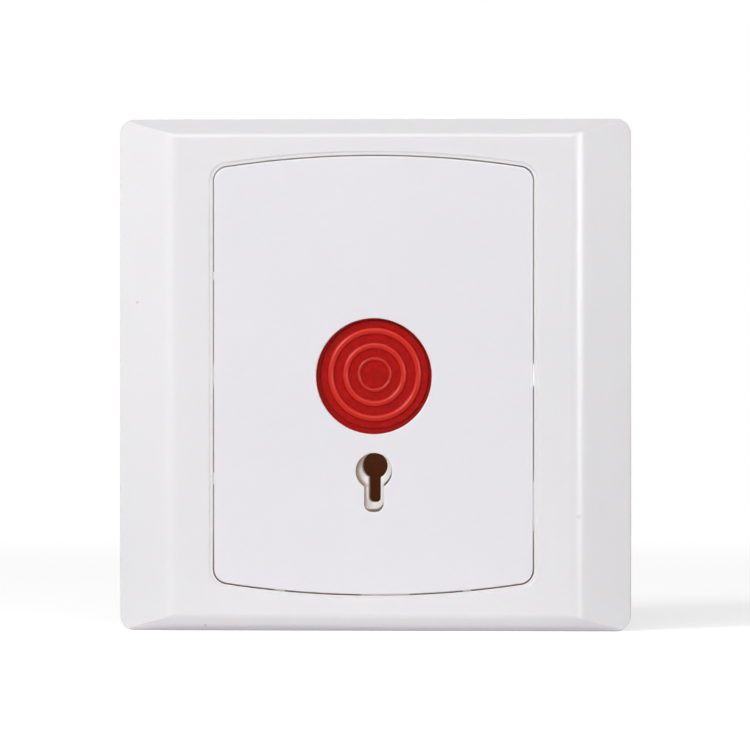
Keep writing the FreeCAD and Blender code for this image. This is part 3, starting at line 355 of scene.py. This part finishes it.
phenolicLook = {
    "colour": "262423", "second": "1D1B1A", "driftSize": 2, "ior": 1.55,
    "roughness": (0.4, 0.55), "glossSize": 1, "waveSize": 3, "waveDepth": 0.003,
    "grainSize": 0.1, "grainDepth": 0.003,
}
nylonLook = {
    "colour": "2E8B57", "second": "27804E", "driftSize": 4, "ior": 1.53,
    "roughness": (0.38, 0.5), "glossSize": 1.5, "waveSize": 4, "waveDepth": 0.004,
    "grainSize": 0.12, "grainDepth": 0.002, "sink": 0.1, "sinkDepth": 0.5,
}
switchButtonLook = {
    "colour": "9C2A22", "second": "8E241D", "driftSize": 1, "ior": 1.5,
    "roughness": (0.3, 0.4), "glossSize": 0.5, "waveSize": 1, "waveDepth": 0.001,
    "grainSize": 0.06, "grainDepth": 0.0005,
}


def plasticMaterials():
    # each name says what the piece is made of and how; the words beside it say what one sees
    def plain(name, look):
        return mouldedPlastic(name, look)[0]

    return {
        "frame_abs": frameMaterial(frameLook),
        "panel_abs": panelMaterial(panelLook),
        "plate_abs": plain("sparkErodedAbsPlate", plateLook),          # matt, greyer, sandy
        "housing_abs": guideMaterial(housingLook),                     # matt, slightly warm
        "button_abs": buttonMaterial(buttonLook),
        "slide_acetal": plain("mouldedAcetal", acetalLook),            # waxy, light sinks in a little
        "switch_phenolic": plain("mouldedPhenolicCase", phenolicLook),      # black, dry
        "switch_button_plastic": plain("mouldedSwitchButton", switchButtonLook),      # dull red
        "terminal_nylon": plain("mouldedNylonBlock", nylonLook),       # green, slightly see-through
    }


# Metals

def workedMetal(name, look):
    # metal with fine lines along one way, cloudy colour and uneven gloss; real lines are 0.01 mm wide
    # or less, and are drawn coarser here so that they show
    material, tree, bsdf, place = newMaterial(name, {"Metallic": 1.0})
    cloud = spread(tree, noise(tree, place, look["cloudSize"], detail=3.0), 0, 1)
    tree.links.new(mixColours(tree, cloud, look["colour"], look["second"]), bsdf.inputs["Base Color"])
    lines = noise(tree, place, look["lineWidth"], stretch=look["stretch"])
    tree.links.new(spread(tree, lines, *look["roughness"]), bsdf.inputs["Roughness"])
    tree.links.new(relief(tree, lines, look["lineDepth"]), bsdf.inputs["Normal"])
    return material


metalLooks = {
    # hard-drawn spring wire: blue-grey, fine lines round the coil
    "spring_steel": ("drawnSpringSteel", {
        "colour": "9DA1A8", "second": "878C95", "cloudSize": 1.5, "lineWidth": 0.05,
        "stretch": (12, 1, 12), "roughness": (0.24, 0.36), "lineDepth": 0.0006}),
    # turned pin: bright, rings round the Y axis
    "pin_steel": ("turnedPinSteel", {
        "colour": "BDBDBD", "second": "A9A9AA", "cloudSize": 1.0, "lineWidth": 0.06,
        "stretch": (20, 1, 20), "roughness": (0.18, 0.3), "lineDepth": 0.0006}),
    # rolled stainless strip: lines along the lever
    "switch_steel": ("rolledStainlessStrip", {
        "colour": "C2BFBB", "second": "B2AFAA", "cloudSize": 2.0, "lineWidth": 0.06,
        "stretch": (25, 1, 1), "roughness": (0.2, 0.34), "lineDepth": 0.0005}),
    # stamped and tinned brass: pale, slightly yellow, soft
    "tinned_brass": ("tinnedBrass", {
        "colour": "C9C6BA", "second": "B8B29C", "cloudSize": 0.6, "lineWidth": 0.08,
        "stretch": (1, 6, 1), "roughness": (0.28, 0.42), "lineDepth": 0.0008}),
    # folded brass cage: yellow where the nickel is thin
    "clamp_brass": ("foldedBrassClamp", {
        "colour": "C8AE6B", "second": "AE9250", "cloudSize": 1.2, "lineWidth": 0.08,
        "stretch": (1, 1, 10), "roughness": (0.26, 0.4), "lineDepth": 0.0008}),
    # flowed solder: bright, a little frosted
    "solder": ("flowedSolder", {
        "colour": "BFC0C2", "second": "A4A6A9", "cloudSize": 0.4, "lineWidth": 0.15,
        "stretch": (1, 1, 1), "roughness": (0.14, 0.34), "lineDepth": 0.002}),
    # zinc-plated screws: bluish white with a cloudy bloom
    "zinc_steel": ("zincPlatedScrew", {
        "colour": "C3C7CC", "second": "A9AEB4", "cloudSize": 0.8, "lineWidth": 0.07,
        "stretch": (1, 1, 1), "roughness": (0.24, 0.4), "lineDepth": 0.001}),
}

boardLook = {
    "ior": 1.55, "roughness": (0.4, 0.55), "colour": "7A4526",
    # fibres: colour, width in mm, length in widths, share of those that lie across, relief in mm
    "fibre": "5E3319", "fibreWidth": 0.12, "fibreLength": 14, "crossShare": 0.5, "fibreDepth": 0.002,
    # flecks: colour, size in mm, how strong, and the part of the noise that shows
    "fleck": "A0643A", "fleckSize": 0.5, "fleckShare": 0.6, "fleckRange": (0.62, 0.72),
    "paintedBoardGlowColour": "B05E34", "paintedBoardGlow": 0.115,    # painted glow, as if daylight came through the thin white walls round it
}


def boardMaterial(look):
    # pressed paper and phenolic resin: brown, fibrous, with paler flecks under a satin skin, and a painted
    # glow
    paintedBoardGlow = {"Emission Color": toLinear(look["paintedBoardGlowColour"]), "Emission Strength": look["paintedBoardGlow"]}
    material, tree, bsdf, place = newMaterial("pressedPaperPhenolic", {"IOR": look["ior"], **paintedBoardGlow})
    long = noise(tree, place, look["fibreWidth"], detail=3.0, stretch=(look["fibreLength"], 1, 1))
    cross = noise(tree, place, look["fibreWidth"], detail=3.0, stretch=(1, 1, look["fibreLength"]))
    colour = mixColours(tree, spread(tree, long, 0, 1), look["colour"], look["fibre"])
    colour = mixColours(tree, spread(tree, cross, 0, look["crossShare"]), colour, look["fibre"])
    fleck = noise(tree, place, look["fleckSize"])
    shown = spread(tree, fleck, 0, look["fleckShare"], *look["fleckRange"])
    colour = mixColours(tree, shown, colour, look["fleck"])
    tree.links.new(colour, bsdf.inputs["Base Color"])
    tree.links.new(spread(tree, fleck, *look["roughness"]), bsdf.inputs["Roughness"])
    tree.links.new(relief(tree, long, look["fibreDepth"]), bsdf.inputs["Normal"])
    return material


materials = plasticMaterials()
for slotName, (metalName, metalLook) in metalLooks.items():
    materials[slotName] = workedMetal(metalName, metalLook)
materials["phenolic_board"] = boardMaterial(boardLook)
print("materials made:", len(materials))

slotOf = {row["node"]: row["material_slot"] for row in frame["record"]["subparts"]}
for nodeName, node in nodes.items():
    for slot in node.material_slots:
        slot.material = materials[slotOf[nodeName]]


# Pieces worked out here

def newPiece(name, points, faces, sharpAngle, body, slotName, *replaced):
    mesh = bpy.data.meshes.new(name)
    mesh.from_pydata(points.tolist(), [], faces)
    mesh.validate()
    mesh.shade_smooth()
    mesh.set_sharp_from_angle(angle=math.radians(sharpAngle))
    mesh.materials.append(materials[slotName])
    piece = addObject(name, mesh)
    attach(piece, body)
    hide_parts(*replaced)
    return piece


def arcPoints(middle, radius, start, end, count):
    # points of an arc in (distance from the axis, depth), by angle in radians from +r towards +y
    angles = np.linspace(start, end, count)
    return np.stack([middle[0] + radius * np.cos(angles), middle[1] + radius * np.sin(angles)], 1)


def gridFaces(rows, columns):
    # quads between neighbouring rows of a grid whose columns close into a ring
    index = np.arange(rows * columns).reshape(rows, columns)
    after = np.roll(index, -1, 1)
    return np.stack([index[:-1], index[1:], after[1:], after[:-1]], -1).reshape(-1, 4).tolist()


def closedGrid(rows, columns):
    # the same grid with a fan of triangles at each end, to two more points that follow the grid's own
    faces = gridFaces(rows, columns)
    first, lastRow = rows * columns, (rows - 1) * columns
    faces += [(first, k, (k + 1) % columns) for k in range(columns)]
    faces += [(first + 1, lastRow + (k + 1) % columns, lastRow + k) for k in range(columns)]
    return faces


def turned(profile, axis, steps):
    # a profile of (r, y) points carried round a line along Y: each point keeps its y and goes round
    # at its own distance r, and the profile's two ends lie on that line
    around = np.linspace(0, 2 * math.pi, steps, endpoint=False)
    r = profile[1:-1, 0][:, None]
    x = axis[0] + r * np.cos(around)
    z = axis[1] + r * np.sin(around)
    y = np.broadcast_to(profile[1:-1, 1][:, None], x.shape)
    ring = np.stack([x, y, z], -1).reshape(-1, 3)
    poles = [[axis[0], profile[0, 1], axis[1]], [axis[0], profile[-1, 1], axis[1]]]
    return np.concatenate([ring, poles]) * mm, closedGrid(len(profile) - 2, steps)


capLook = {
    # the disc's radius and rounded edge, and how far disc and flange lie behind the panel's front
    "radius": 9.1, "edge": 0.2, "setback": 1.15, "flangeSetback": 1.45,
    "ridges": ((2.3, 2.98), (4.3, 5.42), (6.75, 7.95)),    # inner and outer radius
    "fillet": 0.05,                                        # hollow at the foot of a ridge
    "discWall": 1.3, "skirtWall": 1.0, "skirt": 3.45, "hubRadius": 3.2, "pilot": 1.22, "hubRoof": 0.5,
    # how a ridge tilts, in degrees, at shares of the way from its crest to its foot
    "tilts": ((0, 5), (0.08, 17), (0.6, 29), (0.8, 50), (1, 70)),
    "ridgeSteps": 25, "filletSteps": 4, "edgeSteps": 8, "turnSteps": 288, "sharpAngle": 40,
    "support": 0.015,        # to a point beside each foot that keeps the flat's shading flat
}


def ridgeProfile(inner, outer, face, look):
    # a half-round ridge: its height is the sum of its tilt from the foot up, and a short curve that
    # eases from the flat to the steep side makes the hollow at each foot
    middle, half, f = (inner + outer) / 2, (outer - inner) / 2, look["fillet"]
    shares, degrees = np.array(look["tilts"]).T
    u = np.linspace(0, 1, look["ridgeSteps"])
    slope = np.tan(np.radians(np.interp(u, shares, degrees)))
    drop = np.concatenate([[0], np.cumsum((slope[1:] + slope[:-1]) / 2 * np.diff(u))]) * half
    ease = np.linspace(0, 1, look["filletSteps"])[:-1]
    rise = slope[-1] * f / 2
    side = np.stack([half * u, face - rise - drop[-1] + drop], 1)
    foot = np.stack([half + f * (1 - ease), face - rise * ease ** 2], 1)[::-1]
    right = np.concatenate([side, foot, [(half + f + look["support"], face)]])
    left = right[:0:-1] * (-1, 1)
    return np.concatenate([left, right]) + (middle, 0)


def buttonCap(look):
    # turned profile: disc with three ridges, rounded edge, flange behind the panel, skirt and hub
    low, high = (np.array(corner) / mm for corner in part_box("button_cap"))
    axis = ((low[0] + high[0]) / 2, (low[2] + high[2]) / 2)
    flange = (high[0] - low[0]) / 2
    rear = high[1]
    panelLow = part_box("centre_panel")[0][1] / mm
    face = panelLow + look["setback"]
    flangeFront = panelLow + look["flangeSetback"]
    r, e = look["radius"], look["edge"]
    parts = [np.array([(0, face)])]
    for inner, outer in look["ridges"]:
        parts.append(ridgeProfile(inner, outer, face, look))
    parts.append(np.array([(r - e - look["support"], face)]))
    parts.append(arcPoints((r - e, face + e), e, -math.pi / 2, 0, look["edgeSteps"]))
    skirtEnd = flangeFront + look["skirt"]
    discRear = flangeFront + look["discWall"]
    inside = flange - look["skirtWall"]
    parts.append(np.array([
        (r, flangeFront), (flange, flangeFront), (flange, skirtEnd), (inside, skirtEnd),
        (inside, discRear), (look["hubRadius"], discRear), (look["hubRadius"], rear),
        (look["pilot"], rear), (look["pilot"], discRear + look["hubRoof"]),
        (0, discRear + look["hubRoof"]),
    ]))
    points, faces = turned(np.concatenate(parts), axis, look["turnSteps"])
    newPiece("red_button", points, faces, look["sharpAngle"], "button", "button_abs", "button_cap")


buttonCap(capLook)
print("button made")


coilLook = {
    "wire": 0.6, "turns": 4.5,
    "closedTurns": 0.9,      # at each end, where the wire lies on itself
    "easeTurns": 0.5,        # over which the pitch opens
    "stepsPerTurn": 48, "sides": 14, "sharpAngle": 40,
    "kept": 0.435,           # share of its length that is left when the button is pressed home
    "fixedEnd": 6.2,         # depth of the end that stays where it is
}


def returnCoil(look):
    # a round wire carried along a helix: its rise per turn is one wire's width in the closed turns
    # and grows smoothly to an even pitch between them; a flat disc closes each end
    low, high = (np.array(corner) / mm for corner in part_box("return_spring"))
    half = look["wire"] / 2
    radius = (high[0] - low[0]) / 2 - half
    count = int(look["turns"] * look["stepsPerTurn"]) + 1
    turn = np.linspace(0, look["turns"], count)
    fromEnd = np.minimum(turn, look["turns"] - turn)
    inwards = np.clip((fromEnd - look["closedTurns"]) / look["easeTurns"] + 0.5, 0, 1)
    openness = inwards ** 2 * (3 - 2 * inwards)
    length = high[1] - low[1] - look["wire"]
    closed = look["wire"] * turn[-1]
    extra = np.concatenate([[0], np.cumsum((openness[1:] + openness[:-1]) / 2)])
    rise = look["wire"] * turn + (length - closed) * extra / extra[-1]
    angle = 2 * math.pi * turn
    out = np.stack([np.cos(angle), np.zeros(count), np.sin(angle)], 1)
    middle = np.array([(low[0] + high[0]) / 2, low[1] + half, (low[2] + high[2]) / 2])
    line = middle + out * radius + np.outer(rise, (0, 1, 0))
    tangent = np.gradient(line, axis=0)
    tangent /= np.linalg.norm(tangent, axis=1)[:, None]
    across = np.cross(out, tangent)
    around = np.linspace(0, 2 * math.pi, look["sides"], endpoint=False)[:, None]
    rings = line[:, None] + half * (out[:, None] * np.cos(around) + across[:, None] * np.sin(around))
    points = np.concatenate([rings.reshape(-1, 3), line[[0, -1]]]) * mm
    faces = closedGrid(count, look["sides"])
    coil = newPiece(
        "return_coil", points, faces, look["sharpAngle"], "base", "spring_steel", "return_spring"
    )
    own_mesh(coil)


stripLook = {"merge": 0.01, "longEdge": 1.2, "cuts": 3, "sharpAngle": 30}    # the long edges get cuts


def catchStrip(look):
    # the flat strip's own mesh, merged, with cuts along its long edges; the real strip bends between its
    # fixed foot and the end that the lever pushes
    source = nodes["catch_spring"]
    mesh = source.data.copy()
    work = bmesh.new()
    work.from_mesh(mesh)
    work.transform(source.matrix_world)
    bmesh.ops.remove_doubles(work, verts=work.verts, dist=look["merge"] * mm)
    longEdges = [edge for edge in work.edges if edge.calc_length() > look["longEdge"] * mm]
    bmesh.ops.subdivide_edges(work, edges=longEdges, cuts=look["cuts"], use_grid_fill=True)
    bmesh.ops.triangulate(work, faces=work.faces)
    work.to_mesh(mesh)
    work.free()
    mesh.shade_smooth()
    mesh.set_sharp_from_angle(angle=math.radians(look["sharpAngle"]))
    mesh.materials.clear()
    mesh.materials.append(materials["spring_steel"])
    strip = addObject("catch_strip", mesh)
    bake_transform(strip)
    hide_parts("catch_spring")


returnCoil(coilLook)
catchStrip(stripLook)
print("springs made")


# Camera, lights and floor

def aimed(name, data, look, target=(0, 0, 0)):
    # a camera or lamp at two angles in degrees from the front, to the right and up, looking at a point
    side, rise = math.radians(look["side"]), math.radians(look["rise"])
    out = Vector((math.sin(side) * math.cos(rise), -math.cos(side) * math.cos(rise), math.sin(rise)))
    item = addObject(name, data)
    item.location = Vector(target) * mm + out * look["distance"] * mm
    item.rotation_euler = (-out).to_track_quat("-Z", "Y").to_euler()
    return item


cameraLook = {
    "side": 3.3, "rise": 0.5, "distance": 1000.0, "sensor": 36.0, "focal": 285.5,
    "target": (0.0, -3.0, 0.0),
}


def addCamera(look):
    data = bpy.data.cameras.new("camera")
    data.sensor_width = look["sensor"]
    data.lens = look["focal"]
    bpy.context.scene.camera = aimed("camera", data, look, look["target"])


lampLooks = {
    # side and rise in degrees, distance and width in mm, power in watts
    "keySoftbox": {"side": -43, "rise": 28, "distance": 900, "width": 270, "power": 3.38},
    "rightSoftbox": {"side": 42, "rise": 5, "distance": 900, "width": 240, "power": 1.52},
    "topSoftbox": {"side": 0, "rise": 47, "distance": 900, "width": 650, "power": 2.13},
}


def addLamp(name, look):
    data = bpy.data.lights.new(name, "AREA")
    data.shape = "SQUARE"
    data.size = look["width"] * mm
    data.energy = look["power"]
    aimed(name, data, look)


worldLook = {
    "fill": 0.16,           # what lights the object from all round
    # what glossy surfaces see, by the angle from straight in front in degrees
    "opening": 0.02, "openingTo": 16,       # the dark room behind the camera
    "tent": 2.3, "tentFrom": 38, "tentTo": 58,
    "behind": 1.7, "behindFrom": 72,
}


def addWorld(look):
    # a white tent with an opening for the camera; plain white to the camera itself
    world = bpy.data.worlds.new("whiteTent")
    world.use_nodes = True
    tree = world.node_tree
    tree.nodes.clear()
    way = addNode(tree, "TexCoord").outputs["Generated"]
    towards = addNode(tree, "VectorMath", {"operation": "DOT_PRODUCT", 1: (0, -1, 0)}, {0: way})
    angle = addNode(tree, "Math", {"operation": "ARCCOSINE"}, {0: towards.outputs["Value"]}).outputs[0]
    turn = {name: math.radians(look[name]) for name in ("openingTo", "tentFrom", "tentTo", "behindFrom")}
    front = spread(tree, angle, look["opening"], look["tent"], turn["openingTo"], turn["tentFrom"])
    rear = spread(tree, angle, 0, look["behind"] - look["tent"], turn["tentTo"], turn["behindFrom"])
    tent = addNode(tree, "Math", {"operation": "ADD"}, {0: front, 1: rear}).outputs[0]
    path = addNode(tree, "LightPath").outputs
    glossy = addNode(tree, "Mix", {2: look["fill"]}, {0: path["Is Glossy Ray"], 3: tent}).outputs[0]
    shown = addNode(
        tree, "Math", {"operation": "MAXIMUM"}, {0: path["Is Camera Ray"], 1: path["Is Transmission Ray"]}
    ).outputs[0]
    strength = addNode(tree, "Mix", {3: 1.0}, {0: shown, 2: glossy}).outputs[0]
    background = addNode(tree, "Background", {"Color": toLinear("FFFFFF")}, {"Strength": strength})
    addNode(tree, "OutputWorld", links={"Surface": background.outputs[0]})
    bpy.context.scene.world = world


floorLook = {
    "size": 4000, "colour": "F0F0F0",
    "glow": 0.19,                            # as a light table: what the card gives off by itself
    "shownColour": "F4F4F4", "lift": 0.55,   # its colour and glow as the camera sees them
    "fadeFrom": 120, "fadeTo": 420,          # distances between which it turns plain white
}


def addFloor(look):
    # pale card: the camera sees it near white, with the object's shadow, and plain white far out
    half = look["size"] / 2 * mm
    level = cadLow.z
    corners = [(-half, -half, level), (half, -half, level), (half, half, level), (-half, half, level)]
    mesh = bpy.data.meshes.new("floor")
    mesh.from_pydata(corners, [], [(0, 1, 2, 3)])
    floor = addObject("floor", mesh)
    material = bpy.data.materials.new("paleCard")
    material.use_nodes = True
    tree = material.node_tree
    tree.nodes.clear()
    place = addNode(tree, "TexCoord").outputs["Object"]
    path = addNode(tree, "LightPath").outputs
    colour = mixColours(tree, path["Is Camera Ray"], look["colour"], look["shownColour"])
    card = addNode(tree, "BsdfDiffuse", links={"Color": colour}).outputs[0]
    glow = addNode(tree, "Emission", {"Strength": look["glow"]}).outputs[0]
    glowing = addNode(tree, "AddShader", links={0: card, 1: glow}).outputs[0]
    lift = addNode(tree, "Emission", {"Strength": look["lift"]}).outputs[0]
    lifted = addNode(tree, "AddShader", links={0: card, 1: lift}).outputs[0]
    white = addNode(tree, "Emission", {"Strength": 1.0}).outputs[0]
    away = addNode(tree, "VectorMath", {"operation": "LENGTH"}, {0: place}).outputs["Value"]
    far = spread(tree, away, 0, 1, look["fadeFrom"] * mm, look["fadeTo"] * mm)
    shown = addNode(tree, "MixShader", links={0: far, 1: lifted, 2: white}).outputs[0]
    seen = addNode(
        tree, "Math", {"operation": "MAXIMUM"}, {0: path["Is Camera Ray"], 1: path["Is Transmission Ray"]}
    ).outputs[0]
    both = addNode(tree, "MixShader", links={0: seen, 1: glowing, 2: shown}).outputs[0]
    addNode(tree, "OutputMaterial", links={"Surface": both})
    mesh.materials.append(material)


addCamera(cameraLook)
for lampName, lampLook in lampLooks.items():
    addLamp(lampName, lampLook)
addWorld(worldLook)
addFloor(floorLook)
bpy.context.scene.view_settings.view_transform = "Standard"
print("camera, lights and floor in place")
